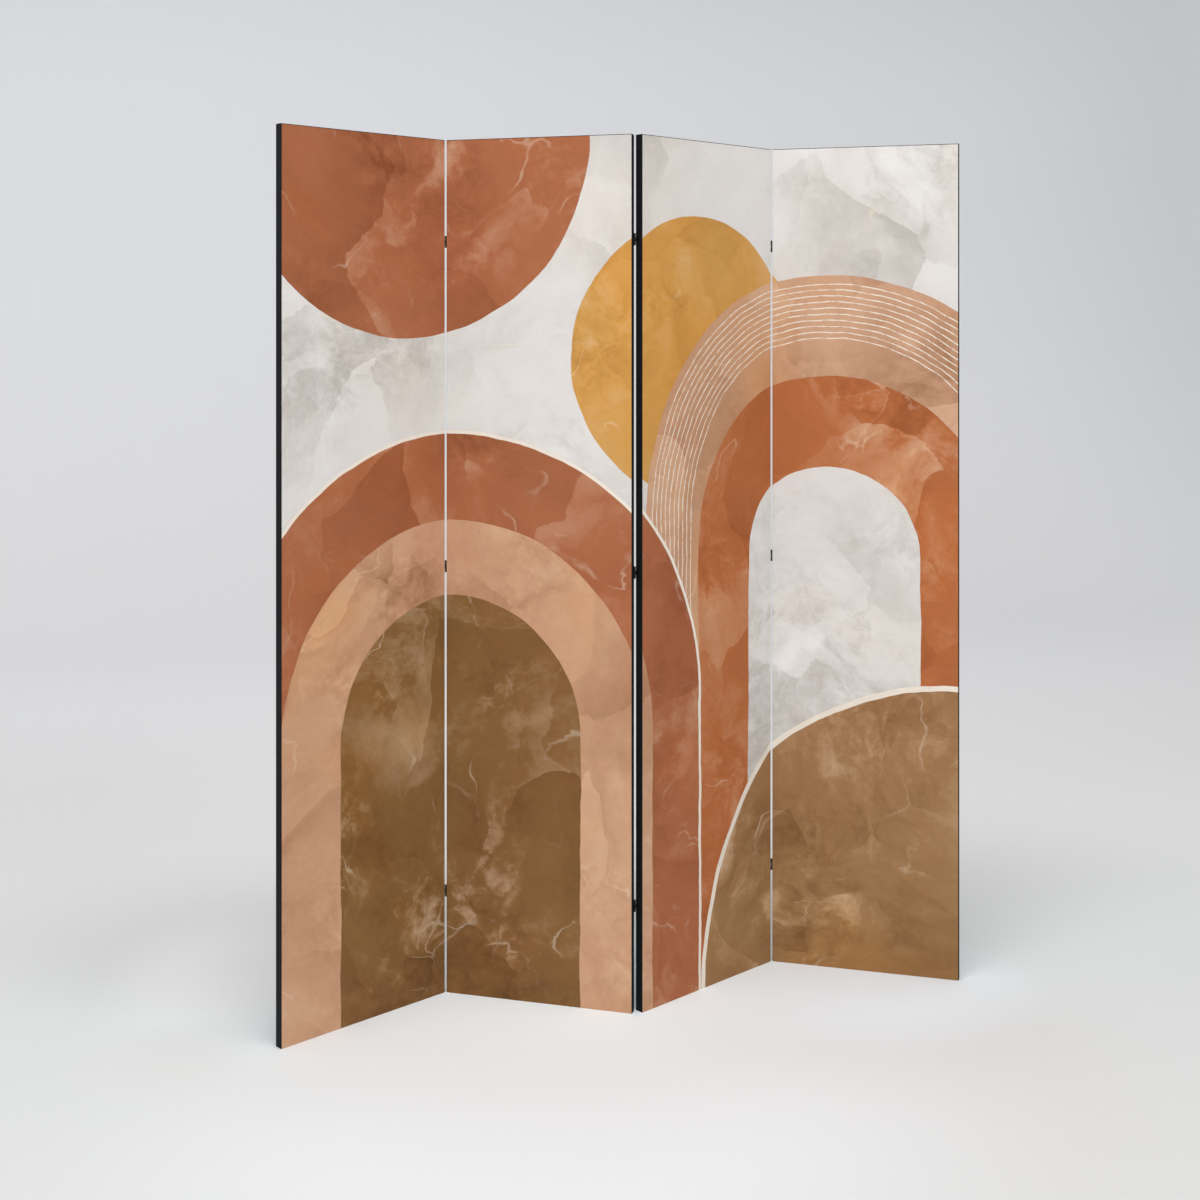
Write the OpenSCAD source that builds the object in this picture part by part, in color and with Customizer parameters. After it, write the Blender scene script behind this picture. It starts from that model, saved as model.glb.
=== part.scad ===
// Four-panel folding screen: printed canvas on pine stretcher frames, joined by small butt hinges.
// Millimetres. +Z is up, the printed faces look towards -Y, and +X runs along the row to the viewer's right.
// The origin is on the floor, in the middle of the plan. The screen stands as a zigzag: the outer two folds
// are valleys seen from the front, with their pins before the printed face, and the middle fold is a ridge,
// with its pins behind the backs.

/* [Screen] */
// Height of the screen
panel_h = 1800; // [1500:10:2100]
// Width of one panel
panel_w = 405; // [320:5:600]
// Angle that each fold is turned from flat as the screen stands
fold_angle = 60; // [20:1:110]

/* [Frame] */
// Width of a frame bar, seen from the front
bar_w = 38; // [32:1:60]
// Depth of a frame bar, front to back
bar_t = 18; // [16:0.5:30]
// Width of the raised lip that the canvas is drawn over
lip_w = 6; // [4:0.5:12]
// How far the bar's front falls back behind the lip at its inner edge
lip_drop = 2; // [1:0.5:4]
// Depth of a cross bar, which lies flush with the back
cross_t = 13; // [10:0.5:16]
// Diameter of a dowel
dowel_d = 6; // [4:0.5:8]
// Length of a dowel
dowel_l = 30; // [20:1:50]

/* [Cloth] */
// Thickness of the printed canvas
canvas_t = 0.4; // [0.3:0.1:0.8]
// Width of the canvas turned onto the back
turn_in = 24; // [16:1:36]
// Thickness of the backing cloth
cloth_t = 0.3; // [0.2:0.1:0.6]
// Margin between the backing cloth and the panel's edge
cloth_margin = 5; // [3:0.5:9]

/* [Staples] */
// Width of a staple's crown
crown_w = 10; // [6:1:13]
// Length of a staple's legs
leg_l = 8; // [6:1:12]
// Thickness of the staple wire
wire_t = 0.7; // [0.5:0.1:1.2]
// How far the crown stands out of the backing cloth
crown_proud = 0.2; // [0.1:0.1:0.4]
// Distance between staples along an edge
staple_pitch = 120; // [80:5:200]

/* [Hinges] */
// Height of a hinge
leaf_h = 25; // [20:1:40]
// Reach of a leaf from the pin's axis to its far edge
leaf_reach = 13; // [11:0.5:15]
// Thickness of a leaf
leaf_t = 0.9; // [0.7:0.1:1.2]
// Corner radius of a leaf
leaf_r = 1.5; // [0.5:0.5:3]
// Diameter of the barrel
barrel_d = 3; // [2.8:0.1:4]
// Diameter of the pin
pin_d = 1.4; // [1.2:0.1:1.6]
// Distance of the pin's axis from the face that it folds towards
pin_proud = 0.8; // [0.6:0.1:1.5]
// Distance of the top and bottom hinges' middles from the panel's ends
hinge_end = 215; // [120:5:300]
// Diameter of a screw
screw_d = 2.4; // [2:0.1:3]
// Length of a screw
screw_l = 13; // [10:1:16]
// Distance between the two screws of a leaf
screw_pitch = 15; // [12:0.5:18]

/* [Hidden] */
$fn = 48;

// Clearances
// Each side of the barrel, between it and the two panels' edges
barrel_clear = 0.15;
// Round a pin or a screw, on the radius
fit_clear = 0.05;
// Round a dowel, on the radius, where the glue is
glue_clear = 0.05;
// Between two knuckles, along the pin
knuckle_clear = 0.3;
// Between a barrel and the edge of the other leaf's notch
notch_clear = 0.3;
// Overrun of a cut past the face that it opens
cut = 1;

// Heights of the cross bars, as shares of the panel
cross_shares = [1 / 3, 2 / 3];
// A rail's two dowels stand this share of the bar's width apart
dowel_spread_share = 1 / 2;
// A hinge has three knuckles
knuckles = 3;
// The length of a staple's row that is left free at its corners
staple_corner = bar_w + crown_w;
// A staple's wire is wider than it is thick
wire_w_share = 1.6;
// Pins stand out of the barrel by this share of their diameter, with a bevelled end
pin_end_share = 1 / 4;
// The cross recess in a screw's head, as shares of the head's diameter and height
recess_span_share = 0.62;
recess_w_share = 0.16;
recess_depth_share = 0.75;

// The canvas with the frame in it, without the backing cloth
skin_t = 2 * canvas_t + bar_t;
// The gap between two panels lying flat
fold_gap = barrel_d + 2 * barrel_clear;
half_angle = fold_angle / 2;
frame_h = panel_h - 2 * canvas_t;
frame_w = panel_w - 2 * canvas_t;
rail_l = frame_w - 2 * bar_w;
head_d = screw_d + 2 * leaf_t;
slot_l = leaf_h / knuckles;
// The screws stand at the middle of the leaf's flat
screw_y = (barrel_d / 2 + notch_clear + leaf_reach) / 2;
hinge_z = [hinge_end, panel_h / 2, panel_h - hinge_end];
LEVELS = ["low", "mid", "top"];
PANELS = [1, 2, 3, 4];
// The hinged edges of each panel: which edge, and on which face its pins stand
EDGES = [
    [["right", "front"]],
    [["left", "front"], ["right", "back"]],
    [["left", "back"], ["right", "front"]],
    [["left", "front"]]
];
// The edges whose leaves hold the pins and have the two end knuckles. The other leaves have the middle one
PIN_EDGES = [[], ["left", "right"], ["right"], []];

WOOD = [0.80, 0.66, 0.47];
WOOD_DARK = [0.70, 0.55, 0.36];
PRINT = [0.73, 0.48, 0.33];
BLACK_CLOTH = [0.13, 0.13, 0.14];
BLACK_STEEL = [0.10, 0.10, 0.11];
STEEL = [0.72, 0.72, 0.74];

function has(list, item) = len([for (x = list) if (x == item) x]) > 0;
function holds_pin(n, edge) = has(PIN_EDGES[n - 1], edge);
function node_name(n, piece) = str("panel_", n, "_", piece);
function leaf_name(n, edge, level) = node_name(n, str(edge, "_", LEVELS[level], "_leaf"));
PIECES = ["left_stile", "right_stile", "top_rail", "bottom_rail", "cross_bars", "dowels",
          "front_canvas", "back_cloth", "staples", "hinge_screws"];

// The plan
// A point turned about Z
function turned(p, angle) = [p.x * cos(angle) - p.y * sin(angle), p.x * sin(angle) + p.y * cos(angle)];
// Panels 1 and 3 run away from the viewer to the right, and 2 and 4 towards
function panel_turn(n) = n % 2 == 1 ? half_angle : -half_angle;
// The pins of an edge, in the panel's own frame: X along it, Y from its front to its back
function pin_x(edge) = edge == "left" ? -fold_gap / 2 : panel_w + fold_gap / 2;
function pin_y(face) = face == "front" ? -pin_proud : skin_t + pin_proud;

// How far a free lower corner comes before the outer pins, and a back corner goes behind them
reach_front = (panel_w + fold_gap / 2) * sin(half_angle) - pin_proud * cos(half_angle);
reach_back = (skin_t + pin_proud) * cos(half_angle) - fold_gap / 2 * sin(half_angle);
outer_fold_x = (panel_w + fold_gap) * cos(half_angle) + (skin_t + 2 * pin_proud) * sin(half_angle);
outer_fold_y = (reach_front - reach_back) / 2;

// Each panel hangs on the valley fold beside it
module on_panel(n) {
    edge = n % 2 == 1 ? "right" : "left";
    fold_x = n < 3 ? -outer_fold_x : outer_fold_x;
    pin = turned([pin_x(edge), pin_y("front")], panel_turn(n));
    translate([fold_x - pin.x, outer_fold_y - pin.y, 0])
        rotate([0, 0, panel_turn(n)])
            children();
}

// Puts a hinge's parts, drawn for a right-hand edge with the pin in front, on another edge of the panel
module at_hinge(edge, face, z) {
    translate([pin_x(edge), pin_y(face), z])
        mirror([edge == "left" ? 1 : 0, 0, 0])
            mirror([0, face == "back" ? 1 : 0, 0])
                children();
}

module at_hinges(n) {
    for (edge = EDGES[n - 1])
        for (z = hinge_z)
            at_hinge(edge[0], edge[1], z)
                children();
}

// Both screws of a leaf, pointing into the panel
module at_screws() {
    for (side = [-1, 1])
        translate([-fold_gap / 2 + leaf_t, screw_y, side * screw_pitch / 2])
            rotate([0, -90, 0])
                children();
}

// A screw's hole in the canvas and the stile
module screw_hole() {
    cylinder(r = screw_d / 2 + fit_clear, h = screw_l + fit_clear);
}

// Frame bars
// A bar's section: X from its outer edge inwards, Y from its front to its back
module bar_section() {
    polygon([
        [0, 0],
        [lip_w, 0],
        [bar_w, lip_drop],
        [bar_w, bar_t],
        [0, bar_t]
    ]);
}

module dowel_hole() {
    cylinder(r = dowel_d / 2 + glue_clear, h = dowel_l + 2 * glue_clear, center = true);
}

// Where the dowels cross from the stiles into the rails and cross bars, along X in the frame's own place
module at_dowels(rails = true, cross_bars = true) {
    dowel_y = canvas_t + (bar_t + lip_drop) / 2;
    cross_y = canvas_t + bar_t - cross_t / 2;
    for (x = [canvas_t + bar_w, panel_w - canvas_t - bar_w]) {
        if (rails)
            for (rail_z = [canvas_t + bar_w / 2, panel_h - canvas_t - bar_w / 2])
                for (side = [-1, 1])
                    translate([x, dowel_y, rail_z + side * bar_w * dowel_spread_share / 2])
                        rotate([0, 90, 0])
                            children();
        if (cross_bars)
            for (share = cross_shares)
                translate([x, cross_y, panel_h * share])
                    rotate([0, 90, 0])
                        children();
    }
}

// The left-hand stile's bar, standing in its place
module stile_bar() {
    translate([canvas_t, canvas_t, canvas_t])
        linear_extrude(frame_h)
            bar_section();
}

module left_stile(n) {
    color(WOOD)
        difference() {
            stile_bar();
            at_dowels() dowel_hole();
            at_hinges(n) at_screws() screw_hole();
        }
}

module right_stile(n) {
    color(WOOD)
        difference() {
            translate([panel_w, 0, 0])
                mirror([1, 0, 0])
                    stile_bar();
            at_dowels() dowel_hole();
            at_hinges(n) at_screws() screw_hole();
        }
}

// The bottom rail's bar: the section lies with its outer edge down
module rail_bar() {
    translate([canvas_t + bar_w, canvas_t, canvas_t])
        rotate([90, 0, 90])
            linear_extrude(rail_l)
                mirror([1, -1, 0])
                    bar_section();
}

module bottom_rail() {
    color(WOOD)
        difference() {
            rail_bar();
            at_dowels(cross_bars = false) dowel_hole();
        }
}

module top_rail() {
    color(WOOD)
        difference() {
            translate([0, 0, panel_h])
                mirror([0, 0, 1])
                    rail_bar();
            at_dowels(cross_bars = false) dowel_hole();
        }
}

module cross_bars() {
    color(WOOD)
        difference() {
            for (share = cross_shares)
                translate([canvas_t + bar_w, canvas_t + bar_t - cross_t, panel_h * share - bar_w / 2])
                    cube([rail_l, cross_t, bar_w]);
            at_dowels(rails = false) dowel_hole();
        }
}

// A dowel with bevelled ends
module dowels() {
    bevel = dowel_d / 8;
    color(WOOD_DARK)
        at_dowels()
            rotate_extrude()
                polygon([
                    [0, -dowel_l / 2],
                    [dowel_d / 2 - bevel, -dowel_l / 2],
                    [dowel_d / 2, bevel - dowel_l / 2],
                    [dowel_d / 2, dowel_l / 2 - bevel],
                    [dowel_d / 2 - bevel, dowel_l / 2],
                    [0, dowel_l / 2]
                ]);
}

// Cloth
// The canvas goes over the front and the four edges, and is turned onto the back
module front_canvas(n) {
    color(PRINT)
        difference() {
            cube([panel_w, skin_t, panel_h]);
            translate([canvas_t, canvas_t, canvas_t])
                cube([frame_w, bar_t, frame_h]);
            translate([turn_in, skin_t - canvas_t - cut / 2, turn_in])
                cube([panel_w - 2 * turn_in, canvas_t + cut, panel_h - 2 * turn_in]);
            at_hinges(n) at_screws() screw_hole();
        }
}

module back_cloth() {
    color(BLACK_CLOTH)
        translate([cloth_margin, skin_t, cloth_margin])
            cube([panel_w - 2 * cloth_margin, cloth_t, panel_h - 2 * cloth_margin]);
}

// A staple, driven along -Y with its crown along X
module staple() {
    wire_w = wire_t * wire_w_share;
    translate([-crown_w / 2, crown_proud - wire_t, -wire_w / 2])
        cube([crown_w, wire_t, wire_w]);
    for (x = [-crown_w / 2, crown_w / 2 - wire_t])
        translate([x, crown_proud - leg_l, -wire_w / 2])
            cube([wire_t, leg_l, wire_w]);
}

// A row of staples from the middle outwards, as evenly spaced as the length between the corners allows
module staple_row(length) {
    run = length - 2 * staple_corner;
    gaps = max(1, round(run / staple_pitch));
    for (i = [0:gaps])
        translate([-run / 2 + run * i / gaps, 0, 0])
            staple();
}

module staples() {
    // The rows lie between the edge of the cloth and that of the turned canvas
    row_in = (cloth_margin + turn_in) / 2;
    face_y = skin_t + cloth_t;
    color(STEEL) {
        for (z = [row_in, panel_h - row_in])
            translate([panel_w / 2, face_y, z])
                staple_row(panel_w);
        for (x = [row_in, panel_w - row_in])
            translate([x, face_y, panel_h / 2])
                rotate([0, 90, 0])
                    staple_row(panel_h);
    }
}

// Hinges
// A leaf's flat from the pin's axis outwards, with round corners at its far edge
module leaf_outline() {
    translate([0, -leaf_h / 2])
        square([leaf_reach - leaf_r, leaf_h]);
    translate([0, leaf_r - leaf_h / 2])
        square([leaf_reach, leaf_h - 2 * leaf_r]);
    for (side = [-1, 1])
        translate([leaf_reach - leaf_r, side * (leaf_h / 2 - leaf_r)])
            circle(r = leaf_r);
}

// A leaf for a right-hand edge with the pin in front: the pin's axis is Z, and the flat lies along +Y
module hinge_leaf(own) {
    others = [for (k = [0:knuckles - 1]) if (!has(own, k)) k];
    color(BLACK_STEEL)
        difference() {
            union() {
                translate([-fold_gap / 2, 0, 0])
                    rotate([90, 0, 90])
                        linear_extrude(leaf_t)
                            leaf_outline();
                for (k = own)
                    translate([0, 0, k * slot_l - leaf_h / 2 + knuckle_clear / 2])
                        cylinder(d = barrel_d, h = slot_l - knuckle_clear);
            }
            for (k = others)
                translate([-fold_gap, -barrel_d, k * slot_l - leaf_h / 2 - (k == 0 ? cut : 0)])
                    cube([
                        2 * fold_gap,
                        barrel_d + barrel_d / 2 + notch_clear,
                        slot_l + (k == 0 ? cut : 0) + (k == knuckles - 1 ? cut : 0)
                    ]);
            translate([0, 0, -leaf_h / 2 - cut])
                cylinder(r = pin_d / 2 + fit_clear, h = leaf_h + 2 * cut);
            at_screws() countersink();
        }
}

// The countersunk hole in a leaf, from the leaf's outer face inwards
module countersink() {
    cylinder(r1 = head_d / 2 + fit_clear, r2 = screw_d / 2 + fit_clear, h = leaf_t);
    translate([0, 0, -cut])
        cylinder(r = head_d / 2 + fit_clear, h = cut);
    cylinder(r = screw_d / 2 + fit_clear, h = leaf_t + cut);
}

module leaf_on(n, edge, level) {
    at_hinge(edge[0], edge[1], hinge_z[level])
        hinge_leaf(own = holds_pin(n, edge[0]) ? [0, 2] : [1]);
}

// A countersunk screw with a cross recess, from its head at zero along +Z
module screw() {
    tip_l = screw_d;
    recess = head_d * recess_span_share;
    recess_w = head_d * recess_w_share;
    recess_depth = leaf_t * recess_depth_share;
    difference() {
        rotate_extrude()
            polygon([
                [0, 0],
                [head_d / 2, 0],
                [screw_d / 2, leaf_t],
                [screw_d / 2, screw_l - tip_l],
                [0, screw_l]
            ]);
        for (turn = [0, 90])
            rotate([0, 0, turn])
                translate([-recess / 2, -recess_w / 2, -recess_depth])
                    cube([recess, recess_w, 2 * recess_depth]);
    }
}

module hinge_screws(n) {
    color(STEEL)
        at_hinges(n) at_screws() screw();
}

// A pin with bevelled ends
module hinge_pin() {
    end = pin_d * pin_end_share;
    length = leaf_h + 2 * end;
    rotate_extrude()
        polygon([
            [0, -length / 2],
            [pin_d / 2 - end / 2, -length / 2],
            [pin_d / 2, end / 2 - length / 2],
            [pin_d / 2, length / 2 - end / 2],
            [pin_d / 2 - end / 2, length / 2],
            [0, length / 2]
        ]);
}

module hinge_pins(n) {
    color(BLACK_STEEL)
        for (edge = EDGES[n - 1])
            if (holds_pin(n, edge[0]))
                for (z = hinge_z)
                    at_hinge(edge[0], edge[1], z)
                        hinge_pin();
}

// The nodes
for (n = PANELS) {
    on_panel(n) left_stile(n);
    on_panel(n) right_stile(n);
    on_panel(n) top_rail();
    on_panel(n) bottom_rail();
    on_panel(n) cross_bars();
    on_panel(n) dowels();
    on_panel(n) front_canvas(n);
    on_panel(n) back_cloth();
    on_panel(n) staples();
    on_panel(n) hinge_screws(n);
    on_panel(n) hinge_pins(n);
    for (edge = EDGES[n - 1])
        for (level = [0:2])
            on_panel(n) leaf_on(n, edge, level);
}
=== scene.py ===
"""A four-panel folding screen, dressed for its picture.

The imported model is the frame. Its bars, dowels, staples, screws, pins and hinge leaves keep their shapes
and get their finishes here. The printed canvases and the black backing cloths are made here as real cloth and
stand for the plain solids. Everything is in metres: +Z is up and the printed faces look towards -Y.
"""

import math

import bmesh
import bpy
from mathutils import Matrix, Vector, noise


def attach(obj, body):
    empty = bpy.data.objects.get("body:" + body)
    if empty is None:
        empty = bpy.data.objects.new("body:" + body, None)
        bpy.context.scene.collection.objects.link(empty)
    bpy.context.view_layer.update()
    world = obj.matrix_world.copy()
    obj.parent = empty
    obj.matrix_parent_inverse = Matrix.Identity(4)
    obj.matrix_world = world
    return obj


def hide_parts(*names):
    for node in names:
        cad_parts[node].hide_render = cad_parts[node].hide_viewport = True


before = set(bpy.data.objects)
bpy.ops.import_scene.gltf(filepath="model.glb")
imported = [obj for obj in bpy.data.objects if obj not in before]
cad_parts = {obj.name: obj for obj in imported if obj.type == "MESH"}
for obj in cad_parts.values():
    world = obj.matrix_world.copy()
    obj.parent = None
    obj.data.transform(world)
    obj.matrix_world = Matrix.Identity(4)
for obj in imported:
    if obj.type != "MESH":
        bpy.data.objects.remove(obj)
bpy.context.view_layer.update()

# The screen, as the part's source has it
PANEL_H = 1.8
PANEL_W = 0.405
HALF_FOLD = math.radians(30)
SKIN_T = 0.0188
CANVAS_T = 0.0004
TURN_IN = 0.024
CLOTH_T = 0.0003
CLOTH_MARGIN = 0.005
BAR_W = 0.038
FOLD_GAP = 0.0033
PIN_PROUD = 0.0008
CROWN_W = 0.010
STAPLE_PITCH = 0.120
CROSS_SHARES = (1 / 3, 2 / 3)
PANELS = (1, 2, 3, 4)

# The canvas: the radius of its folds, the lines across one, its corner flaps, and how slack it lies
FOLD_R = 0.0006
FOLD_LINES = [0.0, 0.35 * FOLD_R, 0.7 * FOLD_R, FOLD_R]
FLAP_T = 0.00035
CANVAS_SLACK = 0.0004

# How far apart the lines of the cloths' meshes may be: across, deep and up the canvas, and on the backing
CANVAS_GAPS = (0.021, 0.006, 0.022)
BACKING_GAP = 0.024

# How far the black of the edges comes over the front: at the top, and at each panel's left and right
TOP_BORDER = 0.0013
SIDE_BORDERS = {1: (TOP_BORDER, 0.0), 2: (0.0, FOLD_R), 3: (FOLD_R, 0.0), 4: (0.0, TOP_BORDER)}

# The backing cloth: its hem, the row of stitches in it, and how far it stands out or sinks in
HEM_W = 0.018
HEM_RISE = 0.0003
STITCH_IN = CLOTH_MARGIN + HEM_W - 0.002
STITCH_PITCH = 0.0032
BACK_SAG = 0.0022
STAPLE_DIMPLE = 0.0004
STAPLE_PULL = 0.00022
TURN_STEP = 0.0003

# From one thread to the next
CANVAS_THREAD = 0.0006
BACKING_THREAD = 0.0009

# How ink has run, coarse to fine: the scale of each run and how far it carries
INK_RUNS = ((2.2, 0.34), (9.0, 0.060), (34.0, 0.018), (120.0, 0.0050))


# Where things stand


def turned(x, y, angle):
    """A place on the floor, turned about the origin."""
    sine, cosine = math.sin(angle), math.cos(angle)
    return Vector((x * cosine - y * sine, x * sine + y * cosine, 0))


def panel_turn(number):
    """Panels 1 and 3 run away from the viewer to the right, and 2 and 4 towards."""
    return HALF_FOLD if number % 2 else -HALF_FOLD


def panel_place(number):
    """The front left lower corner of a panel as it stands: X runs along it, Y from its front to its back."""
    sine, cosine = math.sin(HALF_FOLD), math.cos(HALF_FOLD)
    reach_front = (PANEL_W + FOLD_GAP / 2) * sine - PIN_PROUD * cosine
    reach_back = (SKIN_T + PIN_PROUD) * cosine - FOLD_GAP / 2 * sine
    fold_x = (PANEL_W + FOLD_GAP) * cosine + (SKIN_T + 2 * PIN_PROUD) * sine
    fold_y = (reach_front - reach_back) / 2
    pin_x = PANEL_W + FOLD_GAP / 2 if number % 2 else -FOLD_GAP / 2
    turn = panel_turn(number)
    corner = Vector((-fold_x if number < 3 else fold_x, fold_y, 0)) - turned(pin_x, -PIN_PROUD, turn)
    return Matrix.Translation(corner) @ Matrix.Rotation(turn, 4, "Z")


def staple_run(length):
    """Where the staples of one edge stand along it, from the edge's end."""
    run = length - 2 * (BAR_W + CROWN_W)
    gaps = max(1, round(run / STAPLE_PITCH))
    return [(length - run) / 2 + run * i / gaps for i in range(gaps + 1)]


STAPLES_UP = staple_run(PANEL_H)
STAPLES_ACROSS = staple_run(PANEL_W)
STAPLES_IN = (CLOTH_MARGIN + TURN_IN) / 2


# Shader nodes


def colour(red, green, blue):
    """A colour as a paint chart gives it, from 0 to 255, for a shader's socket."""

    def linear(part):
        part /= 255
        return part / 12.92 if part <= 0.04045 else ((part + 0.055) / 1.055) ** 2.4

    return (linear(red), linear(green), linear(blue), 1.0)


class Bench:
    """Adds nodes to one shader tree. A call gives back what the new node puts out, to feed the next one."""

    def __init__(self, tree):
        self.tree = tree

    def feed(self, socket, value):
        if isinstance(value, bpy.types.NodeSocket):
            self.tree.links.new(value, socket)
        else:
            socket.default_value = value

    def node(self, kind, **settings):
        node = self.tree.nodes.new(kind)
        for name, value in settings.items():
            setattr(node, name, value)
        return node

    def fed(self, kind, sockets, values, **settings):
        """A new node with values on its sockets, each socket by its number or its title."""
        node = self.node(kind, **settings)
        for socket, value in zip(sockets, values):
            self.feed(node.inputs[socket], value)
        return node.outputs

    def math(self, operation, *values, clamp=False):
        return self.fed("ShaderNodeMath", (0, 1), values, operation=operation, use_clamp=clamp)[0]

    def plus(self, total, *others):
        for value in others:
            total = self.math("ADD", total, value)
        return total

    def minus(self, first, second):
        return self.math("SUBTRACT", first, second)

    def times(self, product, *others):
        for value in others:
            product = self.math("MULTIPLY", product, value)
        return product

    def vector(self, operation, *values):
        """Two places put together, or a place scaled, or how long a place is."""
        sockets = (0, "Scale") if operation == "SCALE" else (0, 1)
        outputs = self.fed("ShaderNodeVectorMath", sockets, values, operation=operation)
        return outputs["Value" if operation in ("LENGTH", "DOT_PRODUCT") else "Vector"]

    def parts(self, vector):
        return self.fed("ShaderNodeSeparateXYZ", (0,), (vector,))

    def joined(self, x, y, z=0.0):
        return self.fed("ShaderNodeCombineXYZ", (0, 1, 2), (x, y, z))[0]

    def mixed(self, share, below, above, way="MIX"):
        """Two colours, by a share of the second."""
        values = (share, below, above)
        return self.fed("ShaderNodeMix", (0, 6, 7), values, data_type="RGBA", blend_type=way)[2]

    def layered(self, tone, *layers):
        """A colour below layers of paint, each of them a mask, its strength and its paint."""
        for mask, strength, paint in layers:
            tone = self.mixed(self.times(mask, strength), tone, colour(*paint))
        return tone

    def between(self, share, low, high):
        """Two values, by a share of the second."""
        return self.fed("ShaderNodeMix", (0, 2, 3), (share, low, high), data_type="FLOAT")[0]

    def moved(self, share, first, second):
        """Two places, by a share of the second."""
        return self.fed("ShaderNodeMix", (0, 4, 5), (share, first, second), data_type="VECTOR")[1]

    def rise(self, value, start, end, low=0.0, high=1.0):
        """A smooth rise from low to high as the value goes from start to end."""
        values = (value, start, end, low, high)
        return self.fed("ShaderNodeMapRange", range(5), values, interpolation_type="SMOOTHSTEP")[0]

    def noise(self, place, scale, detail=2.0, roughness=0.5, drift=0.0, out=0):
        """Clouds from 0 to 1, or as a colour where out is 1."""
        titles = ("Vector", "Scale", "Detail", "Roughness", "Distortion")
        return self.fed("ShaderNodeTexNoise", titles, (place, scale, detail, roughness, drift))[out]

    def pushed(self, place, scale, detail, reach, roughness=0.5):
        """A place pushed about by clouds, each way by up to half a reach."""
        push = self.vector("SUBTRACT", self.noise(place, scale, detail, roughness, out=1), (0.5, 0.5, 0.5))
        return self.vector("ADD", place, self.vector("SCALE", push, reach))

    def drawn_out(self, place, x, y, z):
        """A place with each of its axes multiplied."""
        return self.vector("MULTIPLY", place, (x, y, z))

    def use(self, group, **given):
        """A shared effect with its own values. An underscore in a name stands for a space."""
        titles = [name.replace("_", " ") for name in given]
        return self.fed("ShaderNodeGroup", titles, given.values(), node_tree=group)


SOCKETS = {"place": "NodeSocketVector", "value": "NodeSocketFloat", "colour": "NodeSocketColor"}


def effect(name, takes, gives):
    """A new shared effect, its bench and its inputs. takes and gives hold the kind of each socket by name."""
    group = bpy.data.node_groups.new(name, "ShaderNodeTree")
    for title, kind in takes.items():
        group.interface.new_socket(title, in_out="INPUT", socket_type=SOCKETS[kind])
    for title, kind in gives.items():
        group.interface.new_socket(title, in_out="OUTPUT", socket_type=SOCKETS[kind])
    bench = Bench(group)
    return bench, bench.node("NodeGroupInput").outputs


def give(bench, **results):
    """Ends an effect by feeding its outputs, and gives it back."""
    bench.fed("NodeGroupOutput", [name.replace("_", " ") for name in results], results.values())
    return bench.tree


# Shared effects


def make_weave():
    """Plain weave in two directions, with thicker threads here and there. Its Tone is painted shade between
    the threads.
    """
    takes = {"Place": "place", "Thread": "value"}
    bench, given = effect("Woven threads with painted shade", takes, {"Height": "value", "Tone": "value"})
    across, along, _ = bench.parts(given["Place"])
    warp = bench.math("DIVIDE", across, given["Thread"])
    weft = bench.math("DIVIDE", along, given["Thread"])
    warp_wave = bench.math("SINE", bench.times(warp, math.pi))
    weft_wave = bench.math("SINE", bench.times(weft, math.pi))
    crossing = bench.math("ABSOLUTE", bench.times(warp_wave, weft_wave))
    long_slub = bench.noise(bench.drawn_out(given["Place"], 620.0, 34.0, 0.0), 1.0, 3.0)
    cross_slub = bench.noise(bench.drawn_out(given["Place"], 30.0, 560.0, 0.0), 1.0, 3.0)
    slub = bench.math("MAXIMUM", long_slub, cross_slub)
    height = bench.plus(bench.times(crossing, 0.55), bench.times(slub, 0.75))
    # The tone follows the height: painted shade in the hollows between threads, painted light on raised
    # crossings and thick threads
    tone = bench.plus(bench.times(crossing, 0.4), bench.rise(slub, 0.45, 0.8, 0.0, 0.6))
    return give(bench, Height=height, Tone=tone)


def make_fold_wear():
    """Where a fold has been rubbed: 1 on bare threads. Distance is that from the fold."""
    takes = {"Place": "place", "Distance": "value", "Reach": "value"}
    bench, given = effect("Rubbed folds", takes, {"Mask": "value"})
    near = bench.rise(given["Distance"], given["Reach"], 0.0)
    speckle = bench.rise(bench.noise(given["Place"], 900.0, 3.0, 0.7), 0.56, 0.68)
    patches = bench.rise(bench.noise(given["Place"], 9.0, 3.0, 0.6), 0.42, 0.64)
    return give(bench, Mask=bench.times(near, speckle, patches))


def make_handling():
    """Faint clouds of dust and handling, for roughness and tone."""
    bench, given = effect("Handling", {"Place": "place"}, {"Mask": "value", "Specks": "value"})
    clouds = bench.noise(given["Place"], 3.4, 5.0, 0.6, 0.4)
    specks = bench.rise(bench.noise(given["Place"], 420.0, 2.0, 0.5), 0.70, 0.78)
    return give(bench, Mask=bench.rise(clouds, 0.35, 0.7), Specks=specks)


def make_grain():
    """Softwood grain along Z of the place it is given: growth rings and fibres."""
    takes = {"Place": "place", "Rings": "value", "Wander": "value"}
    bench, given = effect("Wood grain", takes, {"Late wood": "value", "Fibre": "value", "Height": "value"})
    slow = bench.drawn_out(given["Place"], 1.0, 1.0, 0.06)
    bent_x, bent_y, _ = bench.parts(bench.pushed(slow, 9.0, 3.0, given["Wander"]))
    from_heart = bench.joined(bench.plus(bent_x, 0.031), bench.plus(bent_y, -0.052))
    heart = bench.vector("LENGTH", from_heart)
    ring = bench.math("FRACT", bench.times(heart, given["Rings"]))
    late = bench.times(bench.rise(ring, 0.45, 0.92), bench.rise(ring, 1.0, 0.93))
    fibre = bench.noise(bench.drawn_out(given["Place"], 1400.0, 1400.0, 22.0), 1.0, 3.0, 0.6)
    height = bench.plus(bench.times(late, 0.5), bench.times(fibre, 0.5))
    return give(bench, Late_wood=late, Fibre=fibre, Height=height)


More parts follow.
